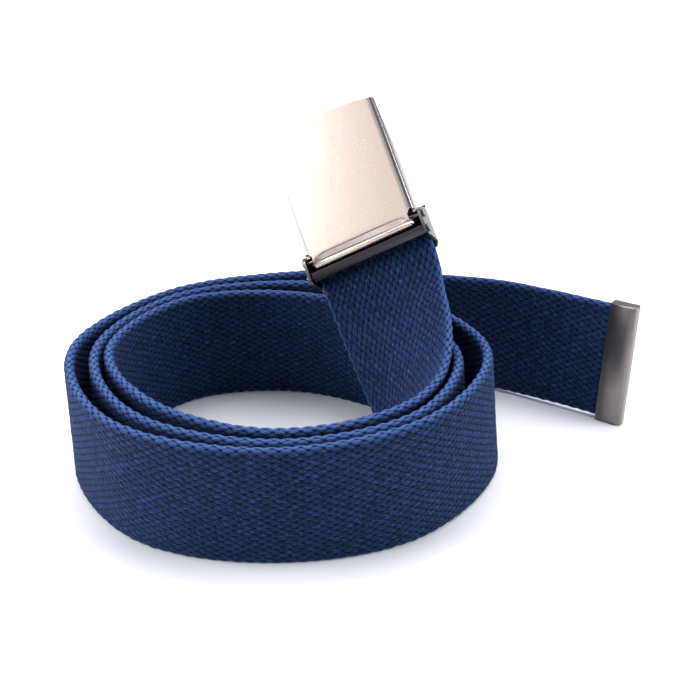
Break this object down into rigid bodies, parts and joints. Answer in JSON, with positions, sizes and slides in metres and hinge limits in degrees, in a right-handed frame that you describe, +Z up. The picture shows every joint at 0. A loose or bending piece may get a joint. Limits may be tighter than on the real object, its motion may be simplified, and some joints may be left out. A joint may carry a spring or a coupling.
{
  "type": "canvas web belt",
  "caption": "Woven canvas web belt standing on its edge in a loose coil, with a flip-top metal buckle on the raised inner end and a metal tip on the free end.",
  "frame": {"origin": "middle of the belt's bounding box, on the ground it stands on", "axes": "+Z up, +X towards the free end, -Y towards the front of the coil"},
  "size_m": [0.1714, 0.1128, 0.098],
  "materials": {
    "navy_web": "coarse woven cotton, navy blue",
    "satin_nickel": "satin nickel plate",
    "bright_nickel": "bright satin nickel plate",
    "dark_nickel": "polished dark nickel plate"
  },
  "bodies": {
    "belt": {"web": "navy_web", "belt_tip": "satin_nickel", "buckle_frame": "satin_nickel", "cover_pin": "satin_nickel", "clamp_pin": "satin_nickel"},
    "cover": {"buckle_cover": "bright_nickel"},
    "clamp": {"clamp_bar": "dark_nickel"}
  },
  "joints": [
    {"name": "cover_hinge", "type": "hinge", "parent": "belt", "child": "cover", "pos_m": [0.00072, 0.02784, 0.05905], "axis": [0.8692, -0.1327, 0.4763], "range_deg": [0, 95]},
    {"name": "clamp_hinge", "type": "hinge", "parent": "belt", "child": "clamp", "pos_m": [0.00224, 0.02494, 0.05546], "axis": [-0.8692, 0.1327, -0.4763], "range_deg": [0, 75]}
  ]
}
